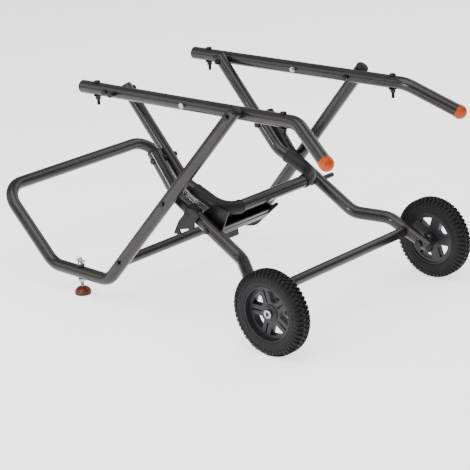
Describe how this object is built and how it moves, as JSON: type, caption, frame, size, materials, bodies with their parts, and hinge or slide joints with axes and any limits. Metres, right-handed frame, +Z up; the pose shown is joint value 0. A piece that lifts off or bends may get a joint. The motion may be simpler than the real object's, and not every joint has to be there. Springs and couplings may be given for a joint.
{
  "type": "folding table saw stand",
  "caption": "Folding wheeled stand for a table saw: tube rails with orange-tipped handles on a scissor of bent tube legs, with a foot loop, levelling foot, spoked wheels and a pedal catch.",
  "frame": {"origin": "centre of the stand's footprint, on the floor", "axes": "+X from the foot loop towards the wheels and handles, +Y across the stand towards the far side, away from the catch and the levelling foot, +Z up"},
  "size_m": [1.0876, 0.668, 0.5434],
  "materials": {
    "tube_paint": "dark bronze-grey metallic powder coat on steel tube",
    "black_plastic": "fine-grained black moulded plastic",
    "black_steel": "black oxide on steel fasteners",
    "bright_steel": "bright zinc-plated steel",
    "orange_plastic": "smooth orange moulded plastic",
    "foot_orange": "dull dark orange moulded plastic",
    "foot_rubber": "matt black rubber",
    "tyre_rubber": "matt black tyre rubber"
  },
  "bodies": {
    "rails": {"rail_near": "tube_paint", "rail_far": "tube_paint", "rail_plug_near": "black_plastic", "rail_plug_far": "black_plastic", "handle_cap_near": "orange_plastic", "handle_cap_far": "orange_plastic", "saw_stud_rear_near": "black_steel", "saw_stud_front_near": "black_steel", "saw_stud_rear_far": "black_steel", "saw_stud_front_far": "black_steel", "rail_end_bolt_near": "black_steel", "rail_end_bolt_far": "black_steel", "rail_middle_bolt_near": "bright_steel", "rail_middle_bolt_far": "bright_steel", "brace_pivot_bolt_near": "black_steel", "brace_pivot_bolt_far": "black_steel"},
    "foot_loop": {"foot_loop": "tube_paint", "foot_loop_plug_near": "black_plastic", "foot_loop_plug_far": "black_plastic", "loop_pivot_bolt_near": "black_steel", "loop_pivot_bolt_far": "black_steel", "stretcher": "tube_paint", "stretcher_bolt_near": "black_steel", "stretcher_bolt_far": "black_steel", "fixed_foot": "foot_rubber", "foot_lock_nut": "bright_steel", "foot_grommet": "black_plastic"},
    "levelling_foot": {"foot_pad": "foot_orange", "foot_stud": "bright_steel"},
    "wing_nut": {"foot_wing_nut": "bright_steel"},
    "wheel_legs": {"wheel_leg_near": "tube_paint", "wheel_leg_far": "tube_paint", "wheel_leg_top_plug_near": "black_plastic", "wheel_leg_top_plug_far": "black_plastic", "wheel_leg_foot_plug_near": "black_plastic", "wheel_leg_foot_plug_far": "black_plastic", "axle_cross_tube": "tube_paint", "axle_bolt_near": "bright_steel", "axle_bolt_far": "bright_steel", "leg_pivot_bolt_near": "black_steel", "leg_pivot_bolt_far": "black_steel", "open_pivot_bolt_near": "black_steel", "open_pivot_bolt_far": "black_steel", "leg_saddle": "black_plastic", "release_spring": "bright_steel", "stop_peg": "black_steel"},
    "brace": {"brace_frame": "tube_paint", "corner_sleeve_near": "black_plastic", "corner_sleeve_far": "black_plastic", "open_pivot_nut_near": "black_steel", "open_pivot_nut_far": "black_steel"},
    "catch": {"catch_side_plate": "black_steel", "catch_channel": "tube_paint", "release_pedal": "black_plastic", "catch_bolt": "black_steel"},
    "lever": {"release_lever": "black_plastic"},
    "wheel_near": {"tyre_near": "tyre_rubber", "hub_near": "black_plastic"},
    "wheel_far": {"tyre_far": "tyre_rubber", "hub_far": "black_plastic"}
  },
  "joints": [
    {"name": "loop_fold", "type": "hinge", "parent": "rails", "child": "foot_loop", "pos_m": [0.24099, 0, 0.5165], "axis": [0, 1, 0], "range_deg": [0, 38.87]},
    {"name": "leg_fold", "type": "hinge", "parent": "foot_loop", "child": "wheel_legs", "pos_m": [0.038, 0, 0.28253], "axis": [0, 1, 0], "range_deg": [0, 82.13]},
    {"name": "brace_fold", "type": "hinge", "parent": "rails", "child": "brace", "pos_m": [-0.14702, 0, 0.5165], "axis": [0, 1, 0], "range_deg": [-36.24, 0]},
    {"name": "catch_release", "type": "hinge", "parent": "wheel_legs", "child": "catch", "pos_m": [0.13652, -0.21115, 0.22225], "axis": [0, -1, 0], "range_deg": [0, 15], "stiffness_Nm_per_rad": 0.8, "springref_deg": -28.65},
    {"name": "lever_release", "type": "hinge", "parent": "wheel_legs", "child": "lever", "pos_m": [0.08321, -0.21115, 0.25487], "axis": [0, 1, 0], "range_deg": [0, 12], "stiffness_Nm_per_rad": 0.3, "springref_deg": -22.92},
    {"name": "levelling", "type": "slide", "parent": "foot_loop", "child": "levelling_foot", "axis": [0, 0, 1], "range_m": [-0.006, 0.008]},
    {"name": "wing_nut_turn", "type": "hinge", "parent": "foot_loop", "child": "wing_nut", "pos_m": [-0.25601, -0.2716, 0.05761], "axis": [0, 0, 1], "range_deg": [-180, 180]},
    {"name": "wheel_spin_near", "type": "hinge", "parent": "wheel_legs", "child": "wheel_near", "pos_m": [0.40098, -0.312, 0.1016], "axis": [0, 1, 0], "continuous": true},
    {"name": "wheel_spin_far", "type": "hinge", "parent": "wheel_legs", "child": "wheel_far", "pos_m": [0.40098, 0.312, 0.1016], "axis": [0, 1, 0], "continuous": true}
  ],
  "couplings": [
    {"joint": "leg_fold", "follows": "loop_fold", "ratio": 2.1127},
    {"joint": "brace_fold", "follows": "loop_fold", "ratio": -0.9321}
  ]
}
